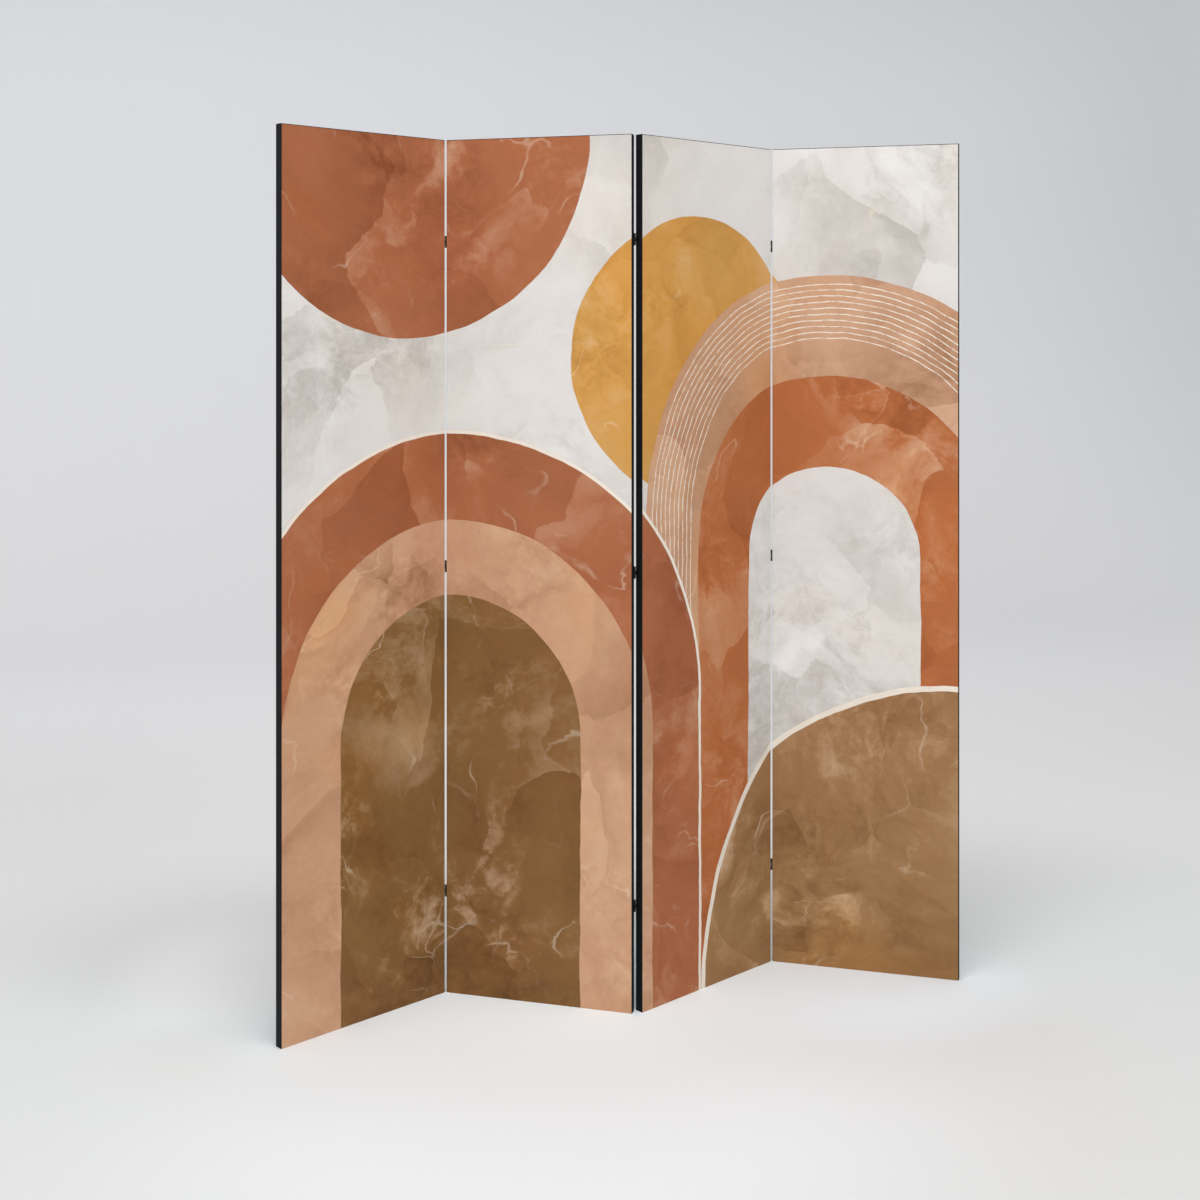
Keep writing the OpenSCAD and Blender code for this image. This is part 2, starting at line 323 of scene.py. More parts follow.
def make_plates():
    """Plates with ragged edges, as where onyx has healed, each of its own tone and shaded to one side."""
    takes = {"Place": "place", "Scale": "value"}
    bench, given = effect("Onyx plates", takes, {"Tone": "value", "Rim": "value"})

    def plates(feature):
        kind, values = "ShaderNodeTexVoronoi", (given["Place"], given["Scale"])
        return bench.fed(kind, ("Vector", "Scale"), values, voronoi_dimensions="2D", feature=feature)

    cells, borders = plates("F1"), plates("DISTANCE_TO_EDGE")
    own = bench.vector("SUBTRACT", cells["Color"], (0.5, 0.5, 0.5))
    from_heart = bench.vector("SUBTRACT", given["Place"], cells["Position"])
    downhill = bench.vector("MULTIPLY", own, (1.0, 1.0, 0.0))
    slope = bench.times(bench.vector("DOT_PRODUCT", from_heart, downhill), given["Scale"])
    level, _, lit = bench.parts(own)
    tone = bench.plus(bench.times(level, 0.55), bench.times(slope, 1.5))
    edge = bench.rise(borders["Distance"], 0.05, 0.0)
    rim = bench.times(bench.math("POWER", edge, 2.0), bench.rise(lit, -0.05, 0.3))
    return give(bench, Tone=tone, Rim=rim)


def make_marbling():
    """Ink that has run in soft clouds and thin plates, as on polished onyx."""
    takes = {"Place": "place", "Shift": "place", "Ink": "colour", "Depth": "value"}
    bench, given = effect("Marbled ink", takes, {"Color": "colour"})
    place = bench.vector("ADD", given["Place"], given["Shift"])
    flow = place
    for scale, reach in INK_RUNS:
        flow = bench.pushed(flow, scale, 2.0, reach)

    broad = bench.use(PLATES, Place=flow, Scale=3.1)
    middle = bench.use(PLATES, Place=bench.vector("ADD", flow, (7.3, 2.9, 0.0)), Scale=7.5)
    small = bench.use(PLATES, Place=bench.vector("ADD", flow, (3.7, 9.1, 0.0)), Scale=19.0)
    broken = bench.rise(bench.noise(place, 2.6, 3.0, 0.55), 0.46, 0.62)
    clouds = bench.minus(bench.noise(flow, 3.2, 5.0, 0.55), 0.5)
    creases = bench.math("ABSOLUTE", bench.minus(bench.noise(flow, 6.5, 6.0, 0.58), 0.5))
    puffs = bench.minus(creases, 0.07)
    mottle = bench.minus(bench.noise(place, 60.0, 6.0, 0.72), 0.5)

    tone = bench.plus(
        bench.times(broad["Tone"], 0.80),
        bench.times(middle["Tone"], bench.between(broken, 0.16, 0.60)),
        bench.times(small["Tone"], bench.between(broken, 0.02, 0.34)),
        bench.times(clouds, 1.7),
        bench.times(puffs, bench.between(broken, 1.6, 6.2)),
        bench.times(mottle, bench.between(broken, 0.45, 1.5)),
    )
    tone = bench.times(tone, given["Depth"])
    brightness = bench.fed("ShaderNodeRGBToBW", (0,), (given["Ink"],))[0]
    milky = bench.rise(brightness, 0.50, 0.66)
    shade = bench.mixed(milky, (0.58, 0.47, 0.35, 1.0), (0.70, 0.68, 0.655, 1.0))
    dark = bench.mixed(1.0, given["Ink"], shade, "MULTIPLY")
    pale = bench.mixed(0.50, given["Ink"], bench.mixed(milky, colour(246, 214, 180), colour(250, 250, 249)))
    body = bench.mixed(bench.math("MULTIPLY", tone, -1.0, clamp=True), given["Ink"], dark)
    body = bench.mixed(bench.math("MULTIPLY", tone, 1.0, clamp=True), body, pale)

    # Golden and rosy washes over it here and there, then the pale veins where it has healed
    golden = bench.mixed(milky, (1.10, 0.97, 0.72, 1.0), (1.0, 0.955, 0.89, 1.0))
    rosy = bench.mixed(milky, (1.02, 0.92, 0.94, 1.0), (0.995, 0.985, 0.975, 1.0))
    washes = bench.noise(flow, 1.9, 4.0, 0.55)
    for wash, start, end in ((golden, 0.50, 0.68), (rosy, 0.50, 0.34)):
        share = bench.times(bench.rise(washes, start, end), given["Depth"], 0.8)
        body = bench.mixed(share, body, bench.mixed(1.0, body, wash, "MULTIPLY"))
    shows = bench.rise(bench.noise(place, 6.0, 4.0, 0.6), 0.50, 0.66)
    healed = bench.math("ABSOLUTE", bench.minus(bench.noise(flow, 4.4, 2.0, 0.45), 0.5))
    veins = bench.times(bench.rise(healed, 0.009, 0.0), shows, 0.34)
    rims = bench.times(middle["Rim"], shows, bench.between(broken, 0.06, 0.22))
    pale_lines = bench.times(bench.math("MAXIMUM", veins, rims), given["Depth"])
    return give(bench, Color=bench.mixed(pale_lines, body, colour(255, 238, 212)))


def make_arch():
    """An arch on straight legs, or a full round where Legs is 0. Reach is the distance from its middle."""
    takes = {"Place": "place", "Middle": "place", "Radius": "value", "Legs": "value"}
    bench, given = effect("Arch or round", takes, {"Mask": "value", "Reach": "value"})
    across, up, _ = bench.parts(bench.vector("SUBTRACT", given["Place"], given["Middle"]))
    rise = bench.between(given["Legs"], up, bench.math("MAXIMUM", up, 0.0))
    reach = bench.vector("LENGTH", bench.joined(across, rise))
    inside = bench.minus(given["Radius"], reach)
    return give(bench, Mask=bench.rise(inside, -0.0004, 0.0004), Reach=reach)


def make_laying():
    """One printed shape laid over what is printed below it."""
    shape = {"Ink": "colour", "Shift": "place", "Depth": "value"}
    below = {f"{name} below": kind for name, kind in shape.items()}
    bench, given = effect("Shape laid over", {"Mask": "value", **below, **shape}, shape)
    mask = given["Mask"]
    return give(
        bench,
        Ink=bench.mixed(mask, given["Ink below"], given["Ink"]),
        Shift=bench.moved(bench.math("GREATER_THAN", mask, 0.5), given["Shift below"], given["Shift"]),
        Depth=bench.between(mask, given["Depth below"], given["Depth"]),
    )


WEAVE = make_weave()
FOLD_WEAR = make_fold_wear()
HANDLING = make_handling()
GRAIN = make_grain()
PLATES = make_plates()
MARBLING = make_marbling()
ARCH = make_arch()
LAYING = make_laying()


# The print

CHALK = (225, 221, 217)
TERRACOTTA = (172, 104, 68)
ORANGE = (182, 107, 60)
PEACH = (203, 157, 124)
MUSTARD = (208, 155, 80)
OLIVE = (134, 96, 52)
TAN = (160, 122, 80)
CREAM = (240, 230, 216)

# Each shape: its ink, the middle of its round across the four panels and up, its radius, whether it is an
# arch with legs, how much it covers, and how deeply its ink is marbled
SHAPES = (
    (TERRACOTTA, 0.30, 1.80, 0.420, False, 1.0, 0.7),
    (MUSTARD, 0.98, 1.34, 0.300, False, 1.0, 0.7),
    (PEACH, 1.34, 1.00, 0.520, True, 0.95, 0.75),
    (ORANGE, 1.34, 0.94, 0.360, True, 1.0, 0.7),
    (CHALK, 1.34, 0.90, 0.200, True, 1.0, 0.85),
    (CREAM, 0.42, 0.62, 0.567, True, 1.0, 0.2),
    (TERRACOTTA, 0.42, 0.62, 0.560, True, 1.0, 0.7),
    (PEACH, 0.42, 0.58, 0.420, True, 1.0, 0.75),
    (OLIVE, 0.42, 0.56, 0.280, True, 1.0, 0.85),
    (CREAM, 1.62, 0.00, 0.632, False, 1.0, 0.2),
    (TAN, 1.62, 0.00, 0.620, False, 1.0, 0.85),
)
CHALK_DEPTH = 0.85
CREAM_DEPTH = 0.2

# The arch whose band has fine lines drawn round it, from where to where, and how they are spaced
LINED_ARCH = 2
LINES_FROM = 0.376
LINES_TO = 0.506
LINE_PITCH = 0.0130
LINE_W = 0.0026


def laid(bench, mask, seen, **shape):
    """The ink, shift and depth that are seen once a shape lies over what was there."""
    below = {f"{name}_below": value for name, value in seen.items()}
    out = bench.use(LAYING, Mask=mask, **below, **shape)
    return {name: out[name] for name in shape}


def fine_lines(bench, place, reach):
    """Fine lines drawn by hand round an arch, that wander and thin out here and there."""
    path = bench.plus(reach, bench.times(bench.minus(bench.noise(place, 14.0, 2.0), 0.5), 0.006))
    share = bench.math("FRACT", bench.math("DIVIDE", path, LINE_PITCH))
    across = bench.math("ABSOLUTE", bench.minus(share, 0.5))
    pressed = bench.rise(bench.noise(place, 46.0, 3.0, 0.7), 0.32, 0.60, 0.25, 1.0)
    half = bench.times(pressed, LINE_W / LINE_PITCH / 2)
    line = bench.rise(bench.minus(half, across), -0.02, 0.02)
    starts = bench.math("GREATER_THAN", reach, LINES_FROM)
    ends = bench.math("LESS_THAN", reach, LINES_TO)
    return bench.times(line, starts, ends)


def print_colour(bench, place):
    """The colour of the print: arches and rounds over a chalk ground, all of it marbled."""
    drawn = bench.pushed(place, 7.5, 3.0, 0.012, 0.55)
    seen = {"Ink": colour(*CHALK), "Shift": (3.0, 7.0, 0.0), "Depth": CHALK_DEPTH}
    for number, (ink, across, up, radius, legs, cover, depth) in enumerate(SHAPES):
        shape = bench.use(ARCH, Place=drawn, Middle=(across, up, 0.0), Radius=radius, Legs=float(legs))
        mask = bench.times(shape["Mask"], cover)
        shift = (1.7 * number, 2.3 * number + 0.4, 0.31 * number)
        seen = laid(bench, mask, seen, Ink=colour(*ink), Shift=shift, Depth=depth)
        if number == LINED_ARCH:
            lines = bench.times(fine_lines(bench, place, shape["Reach"]), shape["Mask"])
            seen = laid(bench, lines, seen, Ink=colour(*CREAM), Shift=shift, Depth=CREAM_DEPTH)
    return bench.use(MARBLING, Place=place, **seen)["Color"]


# Finishes


class Finish(Bench):
    """A new material with one Principled shader. own are its values that are the same all over it."""

    def __init__(self, name, **own):
        self.material = bpy.data.materials.new(name)
        self.material.use_nodes = True
        super().__init__(self.material.node_tree)
        self.tree.nodes.clear()
        self.shader = self.node("ShaderNodeBsdfPrincipled")
        for title, value in own.items():
            self.shader.inputs[title.replace("_", " ")].default_value = value
        self.surface = self.node("ShaderNodeOutputMaterial").inputs["Surface"]
        self.feed(self.surface, self.shader.outputs[0])

    def end(self, tone, roughness, height, depth):
        """Feeds the shader its colour, its roughness and its bump of a depth in metres."""
        bump = self.fed("ShaderNodeBump", ("Strength", "Distance", "Height"), (1.0, depth, height))[0]
        for title, value in {"Base Color": tone, "Roughness": roughness, "Normal": bump}.items():
            self.feed(self.shader.inputs[title], value)
        return self.material


def start_cloth(name, thread, **own):
    """A cloth's finish, the place on its flat cut in metres, its weave and its handling."""
    bench = Finish(name, **own)
    place = bench.node("ShaderNodeUVMap", uv_map="cut").outputs[0]
    return bench, place, bench.use(WEAVE, Place=place, Thread=thread), bench.use(HANDLING, Place=place)


def node_place(bench):
    """The place in the row frame, in metres."""
    return bench.node("ShaderNodeTexCoord").outputs["Object"]


def fold_wear(bench, place, reach):
    """The wear along the upright edges of the four panels, on their flat cuts side by side."""
    across, _, _ = bench.parts(place)
    share = bench.math("FRACT", bench.math("DIVIDE", across, PANEL_W))
    nearest = bench.times(bench.math("MINIMUM", share, bench.minus(1.0, share)), PANEL_W)
    return bench.use(FOLD_WEAR, Place=place, Distance=nearest, Reach=reach)["Mask"]


def make_print_finish():
    """Matt pigment print on cotton canvas."""
    bench, place, weave, handled = start_cloth("Printed canvas", CANVAS_THREAD, Specular_IOR_Level=0.28)
    tone = print_colour(bench, place)
    # Painted shade of the weave: the print darker between the threads and lighter on them
    shade = bench.rise(weave["Tone"], 0.0, 1.0, 0.965, 1.02)
    tone = bench.mixed(1.0, tone, bench.joined(shade, shade, shade), "MULTIPLY")
    tone = bench.layered(tone, (fold_wear(bench, place, 0.0009), 0.30, (226, 214, 196)))
    roughness = bench.rise(handled["Mask"], 0.0, 1.0, 0.70, 0.82)
    return bench.end(tone, roughness, weave["Height"], 0.00010)


def make_wrap_finish():
    """The canvas where it turns round the frame, printed plain black."""
    bench, place, weave, handled = start_cloth("Black canvas edge", CANVAS_THREAD, Specular_IOR_Level=0.12)
    wear = fold_wear(bench, place, 0.0012)
    # Painted shade and light of the weave: the black darker between the threads and lighter on them
    tone = bench.mixed(weave["Tone"], colour(17, 18, 20), colour(26, 27, 29))
    tone = bench.layered(tone, (handled["Mask"], 0.20, (36, 36, 38)), (wear, 0.3, (96, 93, 88)))
    roughness = bench.rise(handled["Mask"], 0.0, 1.0, 0.66, 0.80)
    return bench.end(tone, roughness, weave["Height"], 0.00012)


def make_bare_finish():
    """The canvas's unprinted inner side."""
    bench, _, weave, _ = start_cloth("Bare canvas", CANVAS_THREAD, Specular_IOR_Level=0.2)
    # Painted shade and light of the weave: the canvas darker between the threads and lighter on them
    tone = bench.mixed(weave["Tone"], colour(206, 198, 182), colour(228, 222, 208))
    return bench.end(tone, 0.9, weave["Height"], 0.00012)


def stitch_row(bench, inwards, along, beside):
    """A row of stitches at one edge's hem. beside is the way in from the edges that the row runs between."""
    row = bench.rise(bench.math("ABSOLUTE", bench.minus(inwards, STITCH_IN)), 0.0005, 0.0002)
    threads = bench.math("GREATER_THAN", bench.math("FRACT", bench.math("DIVIDE", along, STITCH_PITCH)), 0.28)
    between_rows = bench.math("GREATER_THAN", beside, STITCH_IN)
    return bench.times(row, threads, between_rows)


def make_backing_finish():
    """Black cotton cloth with a dull bloom, a little lint and a stitched hem."""
    bench, place, weave, handled = start_cloth(
        "Black backing cloth", BACKING_THREAD, Specular_IOR_Level=0.25, Sheen_Weight=0.30, Sheen_Roughness=0.6
    )
    across, up, _ = bench.parts(place)
    streaks = bench.noise(bench.drawn_out(place, 9.0, 1.6, 0.0), 1.6, 4.0, 0.6)
    clouds = bench.rise(bench.noise(place, 26.0, 5.0, 0.7), 0.35, 0.7)
    hem_x = bench.math("MINIMUM", across, bench.minus(PANEL_W, across))
    hem_z = bench.math("MINIMUM", up, bench.minus(PANEL_H, up))
    up_row = stitch_row(bench, hem_x, up, hem_z)
    stitches = bench.math("MAXIMUM", up_row, stitch_row(bench, hem_z, across, hem_x))
    # Over the painted shade of the weave, darker between the threads and lighter on them: handling, streaks,
    # dust at the foot, lint and stitches
    tone = bench.layered(
        bench.mixed(weave["Tone"], colour(22, 22, 24), colour(44, 44, 47)),
        (handled["Mask"], 0.45, (62, 61, 62)),
        (bench.rise(streaks, 0.50, 0.72), 0.35, (56, 57, 60)),
        (bench.times(bench.rise(up, 0.16, 0.0), clouds), 0.13, (126, 122, 116)),
        (handled["Specks"], 0.35, (130, 128, 124)),
        (stitches, 0.6, (74, 73, 74)),
    )
    height = bench.plus(weave["Height"], bench.times(stitches, 1.6))
    roughness = bench.rise(handled["Mask"], 0.0, 1.0, 0.78, 0.92)
    return bench.end(tone, roughness, height, 0.00016)


def along_grain(bench, way):
    """The row frame's place, turned so that Z runs along the grain. way is None for upright grain."""
    place = node_place(bench)
    if way is None:
        return place
    rotated = bench.fed("ShaderNodeVectorRotate", ("Vector", "Angle"), (place, -way), rotation_type="Z_AXIS")
    x, y, z = bench.parts(rotated[0])
    return bench.joined(z, y, x)


def make_pine_finish(name, way):
    """Planed pine: pale early wood and honey-coloured late wood, with faint darker clouds."""
    bench = Finish(name, Specular_IOR_Level=0.35)
    place = along_grain(bench, way)
    grain = bench.use(GRAIN, Place=place, Rings=260.0, Wander=0.016)
    handled = bench.use(HANDLING, Place=place)
    tone = bench.mixed(grain["Late wood"], colour(226, 198, 152), colour(186, 138, 86))
    fibres = bench.rise(grain["Fibre"], 0.35, 0.75)
    tone = bench.layered(tone, (fibres, 0.35, (240, 220, 182)), (handled["Mask"], 0.2, (190, 156, 112)))
    roughness = bench.rise(grain["Fibre"], 0.2, 0.8, 0.52, 0.72)
    return bench.end(tone, roughness, grain["Height"], 0.00012)


def make_dowel_finish(name, way):
    """Beech: even and reddish, with short dark flecks."""
    bench = Finish(name, Specular_IOR_Level=0.35)
    place = along_grain(bench, way)
    grain = bench.use(GRAIN, Place=place, Rings=500.0, Wander=0.004)
    flecks = bench.rise(bench.noise(bench.drawn_out(place, 900.0, 900.0, 220.0), 1.0, 1.0), 0.62, 0.70)
    tone = bench.mixed(grain["Fibre"], colour(196, 150, 108), colour(222, 182, 142))
    tone = bench.layered(tone, (flecks, 0.6, (140, 94, 62)))
    return bench.end(tone, 0.6, grain["Height"], 0.00006)


def make_hinge_finish():
    """Steel with black paint: fine orange peel and small scuffs."""
    bench = Finish("Black painted steel", Specular_IOR_Level=0.5)
    place = node_place(bench)
    handled = bench.use(HANDLING, Place=place)
    peel = bench.noise(place, 1300.0, 2.0, 0.5)
    scuffs = bench.rise(bench.noise(place, 620.0, 4.0, 0.75, 0.8), 0.60, 0.72)
    tone = bench.mixed(bench.times(handled["Mask"], 0.5), colour(11, 11, 12), colour(22, 22, 24))
    tone = bench.layered(tone, (scuffs, 0.22, (66, 64, 62)))
    gloss = bench.rise(peel, 0.2, 0.8, 0.34, 0.46)
    roughness = bench.plus(gloss, bench.times(scuffs, 0.12))
    return bench.end(tone, roughness, peel, 0.00003)


def make_screw_finish():
    """Black coated screws, rubbed bright here and there."""
    bench = Finish("Black coated screw", Metallic=0.7)
    place = node_place(bench)
    turning = bench.noise(place, 2600.0, 3.0, 0.7)
    rubbed = bench.rise(bench.noise(place, 1100.0, 3.0, 0.7), 0.58, 0.70)
    tone = bench.mixed(turning, colour(34, 34, 37), colour(62, 62, 66))
    tone = bench.layered(tone, (rubbed, 0.5, (150, 148, 144)))
    return bench.end(tone, bench.rise(turning, 0.3, 0.7, 0.30, 0.48), turning, 0.00003)


def make_wire_finish():
    """Galvanised staple wire: a little uneven, with dull zinc bloom."""
    bench = Finish("Galvanised wire", Metallic=1.0)
    place = node_place(bench)
    drawn = bench.noise(place, 1900.0, 4.0, 0.7)
    bloom = bench.rise(bench.noise(place, 330.0, 3.0, 0.6), 0.45, 0.62)
    tone = bench.mixed(bloom, colour(198, 199, 200), colour(150, 151, 153))
    gloss = bench.rise(drawn, 0.3, 0.7, 0.24, 0.38)
    roughness = bench.plus(gloss, bench.times(bloom, 0.14))
    return bench.end(tone, roughness, drawn, 0.00002)


# Cloth in mesh code


def steps(start, end, longest):
    """Even lines from start to just before end, no further apart than longest."""
    count = max(1, math.ceil((end - start) / longest - 1e-9))
    return [start + (end - start) * i / count for i in range(count)]


def mirrored(lines, length):
    """Lines for the first part of a length, repeated from its other end."""
    return sorted({round(x, 7) for x in lines} | {round(length - x, 7) for x in lines})


def filled(lines, longest):
    """The same lines with even ones between them, so that none are further apart than longest."""
    full = []
    for start, end in zip(lines, lines[1:]):
        full += steps(start, end, longest)
    return full + [lines[-1]]


def rounded(point, size, radius):
    """A point on a block's surface, moved in where the block's edges are rounded."""
    inner = Vector([min(max(p, radius), s - radius) for p, s in zip(point, size)])
    out = Vector(point) - inner
    return inner + out * (radius / out.length) if out.length > radius else Vector(point)


def smooth(value, start, end):
    """A smooth rise from 0 to 1 as the value goes from start to end."""
    share = min(max((value - start) / (end - start), 0.0), 1.0)
    return share * share * (3 - 2 * share)


def waves(x, y, z):
    """Slow waves in a place's three directions, from 0 to 1."""
    return 0.5 + 0.5 * noise.noise(Vector((x, y, z)))


def slack(x, z):
    """How far the front of the canvas lies back from its plane: it is drawn flat near its edges."""
    inside = min(x, PANEL_W - x, z, PANEL_H - z)
    return CANVAS_SLACK * smooth(inside, 0.010, 0.070) * waves(x * 7, z * 3.1, 4.2)


# For each side of the wrapped block: its fixed axis, whether it is the far one, and its two running axes
CANVAS_SIDES = {
    "front": (1, False, (0, 2)),
    "back": (1, True, (2, 0)),
    "left": (0, False, (2, 1)),
    "right": (0, True, (1, 2)),
    "bottom": (2, False, (1, 0)),
    "top": (2, True, (0, 1)),
}


def cut_place(side, x, y, z):
    """Where a point of the wrapped canvas lies on its flat cut."""
    return {
        "front": (x, z),
        "left": (-y, z),
        "right": (PANEL_W + y, z),
        "bottom": (x, -y),
        "top": (x, PANEL_H + y),
        "back left": (-SKIN_T - x, z),
        "back right": (2 * PANEL_W + SKIN_T - x, z),
        "back bottom": (x, -SKIN_T - z),
        "back top": (x, 2 * PANEL_H + SKIN_T - z),
    }[side]


# The canvas on its bake sheet: the front in two columns, lower half and upper half, then the black edges.
# The backing cloth has two columns too. Inner sides are never seen and share one corner
BAKE_EDGE = 0.006
PRINT_SCALE = 1.08
EDGE_SCALE = 0.53
STRIP = (SKIN_T + TURN_IN) * EDGE_SCALE + 0.004
TOP_STRIP_UP = 0.4
BACKING_COLUMN = 0.46
HIDDEN_UV = ((0.988, 0.988), (0.996, 0.988), (0.996, 0.996), (0.988, 0.996))

# The canvas's finishes, by number
PRINTED, WRAP, BARE = 0, 1, 2


def bake_place(side, upper, u, v):
    """Where a point of the flat cut lies on the bake sheet."""
    column = PANEL_W * PRINT_SCALE + BAKE_EDGE
    if side == "front":
        rise = v - upper * PANEL_H / 2
        return BAKE_EDGE + upper * column + u * PRINT_SCALE, BAKE_EDGE + rise * PRINT_SCALE
    start = 2 * column + 2 * BAKE_EDGE
    if side.endswith("left"):
        return start - u * EDGE_SCALE, BAKE_EDGE + v * EDGE_SCALE
    if side.endswith("right"):
        return start + STRIP + (u - PANEL_W) * EDGE_SCALE, BAKE_EDGE + v * EDGE_SCALE
    if side.endswith("bottom"):
        return start + 2 * STRIP - v * EDGE_SCALE, BAKE_EDGE + u * EDGE_SCALE
    return start + 2 * STRIP + (v - PANEL_H) * EDGE_SCALE, TOP_STRIP_UP + u * EDGE_SCALE


def back_part(x, z):
    """Which turned-in border a place on the back belongs to, or None in the open middle."""
    if x < TURN_IN:
        return "back left"
    if x > PANEL_W - TURN_IN:
        return "back right"
    if z < TURN_IN:
        return "back bottom"
    if z > PANEL_H - TURN_IN:
        return "back top"
    return None


def thickened(quads, points, thickness, inner_finish):
    """A cloth skin with its inner side, rim and maps. A quad has its corners' keys, finish and map places."""
    mesh = bmesh.new()
    maps = (mesh.loops.layers.uv.new("cut"), mesh.loops.layers.uv.new("OFBake"))
    outer = {key: mesh.verts.new(place) for key, place in points.items()}
    faces = [mesh.faces.new([outer[key] for key in keys]) for keys, _, _ in quads]
    mesh.normal_update()
    inner = {key: mesh.verts.new(vert.co - vert.normal * thickness) for key, vert in outer.items()}
    rims = [edge for edge in mesh.edges if len(edge.link_faces) == 1]
    twin = {outer[key]: inner[key] for key in outer}
    hidden = []
    for edge in rims:
        start, end = edge.link_loops[0].vert, edge.link_loops[0].link_loop_next.vert
        hidden.append(mesh.faces.new([end, start, twin[start], twin[end]]))
    for face, (keys, finish, corners) in zip(faces, quads):
        face.material_index = finish
        back = mesh.faces.new([inner[key] for key in reversed(keys)])
        hidden.append(back)
        for layer, uvs in zip(maps, corners):
            for loop, uv in zip(face.loops, uvs):
                loop[layer].uv = uv
        for loop, uv in zip(back.loops, reversed(corners[0])):
            loop[maps[0]].uv = uv
    for face in hidden:
        face.material_index = inner_finish
        for loop, uv in zip(face.loops, HIDDEN_UV):
            loop[maps[1]].uv = uv
    for face in mesh.faces:
        face.smooth = True
    return mesh, maps


def add_corner_flap(mesh, maps, left, start):
    """The folded corner of the canvas on top of the frame: a three-cornered flap, one cloth thick."""
    near, far, inset = 0.0012, SKIN_T - 0.0012, 0.0003
    corners = [(near, near), (near, far), (far, far)]
    middle = (near + (far - near) / 3, far - (far - near) / 3)
    rings = []
    for rise, pull in ((-0.0001, 0.0), (FLAP_T * 0.6, 0.0), (FLAP_T, inset)):
        ring = []
        for x, y in corners:
            share = pull / math.dist((x, y), middle)
            place_x, place_y = x + (middle[0] - x) * share, y + (middle[1] - y) * share
            ring.append(mesh.verts.new((place_x if left else PANEL_W - place_x, place_y, PANEL_H + rise)))
        rings.append(ring)
    faces = []
    for low, high in zip(rings, rings[1:]):
        for i in range(3):
            faces.append([low[i], low[(i + 1) % 3], high[(i + 1) % 3], high[i]])
    faces += [rings[-1], rings[0][::-1]]
    for corners in faces:
        face = mesh.faces.new(corners if not left else corners[::-1])
        face.material_index = WRAP
        for loop in face.loops:
            x, y, _ = loop.vert.co
            u, v = cut_place("top", x, y, PANEL_H)
            loop[maps[0]].uv = (u + start, v)
            loop[maps[1]].uv = bake_place("top", 0, u, v)


def make_canvas(number, finishes):
    """The printed canvas of one panel, drawn over the front, round the four edges and onto the back."""
    size = (PANEL_W, SKIN_T, PANEL_H)
    near_edge = FOLD_LINES + [TOP_BORDER, 0.0028, 0.008, TURN_IN]
    across = mirrored(near_edge, PANEL_W)
    deep = mirrored(FOLD_LINES + [0.0035], SKIN_T)
    up = sorted(mirrored(near_edge, PANEL_H) + [PANEL_H / 2])
    lines = [filled(axis, gap) for axis, gap in zip((across, deep, up), CANVAS_GAPS)]
    start = PANEL_W * (number - 1)
    left_border, right_border = SIDE_BORDERS[number]
    points, quads = {}, []
    for side, (fixed, far, (first, second)) in CANVAS_SIDES.items():
        level = len(lines[fixed]) - 1 if far else 0
        for a in range(len(lines[first]) - 1):
            for b in range(len(lines[second]) - 1):
                keys = []
                for da, db in ((0, 0), (1, 0), (1, 1), (0, 1)):
                    key = [0, 0, 0]
                    key[fixed], key[first], key[second] = level, a + da, b + db
                    keys.append(tuple(key))
                flat = [tuple(lines[axis][key[axis]] for axis in range(3)) for key in keys]
                x, _, z = (sum(p[axis] for p in flat) / 4 for axis in range(3))
                part = back_part(x, z) if side == "back" else side
                if part is None:
                    continue
                in_borders = left_border < x < PANEL_W - right_border and z < PANEL_H - TOP_BORDER
                finish = PRINTED if part == "front" and in_borders else WRAP
                cut = [cut_place(part, *p) for p in flat]
                bake = [bake_place(part, z > PANEL_H / 2, u, v) for u, v in cut]
                quads.append((keys, finish, ([(u + start, v) for u, v in cut], bake)))
                for key, place in zip(keys, flat):
                    if key not in points:
                        points[key] = rounded(place, size, FOLD_R)
    for key, place in points.items():
        if key[1] == 0:
            place.y += slack(place.x, place.z)
    mesh, maps = thickened(quads, points, CANVAS_T, BARE)
    for left in (True, False):
        add_corner_flap(mesh, maps, left, start)
    return placed_piece(f"canvas_{number}", mesh, number, finishes)


def put(name, data):
    """A new object in the scene."""
    thing = bpy.data.objects.new(name, data)
    bpy.context.scene.collection.objects.link(thing)
    return thing


def put_mesh(name, mesh, finishes):
    """A mesh with its finishes as a new object."""
    data = bpy.data.meshes.new(name)
    mesh.to_mesh(data)
    mesh.free()
    for finish in finishes:
        data.materials.append(finish)
    return put(name, data)


def placed_piece(name, mesh, number, finishes):
    """A mesh as a piece of one panel, in its place and riding on it."""
    piece = put_mesh(name, mesh, finishes)
    piece.matrix_world = panel_place(number)
    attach(piece, f"panel_{number}")
    return piece


def bay_sag(x, z):
    """How far the backing cloth hangs into the frame between its bars, as a share."""
    across = min(x, PANEL_W - x) - BAR_W
    bars = [BAR_W / 2, *(PANEL_H * share for share in CROSS_SHARES), PANEL_H - BAR_W / 2]
    for low, high in zip(bars, bars[1:]):
        start, end = low + BAR_W / 2, high - BAR_W / 2
        if start < z < end:
            return smooth(across, 0.0, 0.11) * smooth(min(z - start, end - z), 0.0, 0.12)
    return 0.0


def edge_pull(along, inwards, staples):
    """How far the cloth sinks between two staples, near the edge that they hold."""
    gap = staples[1] - staples[0]
    phase = (along - staples[0]) / gap
    return 0.5 * (1 - math.cos(2 * math.pi * phase)) * math.exp(-max(inwards, 0.0) / 0.045)


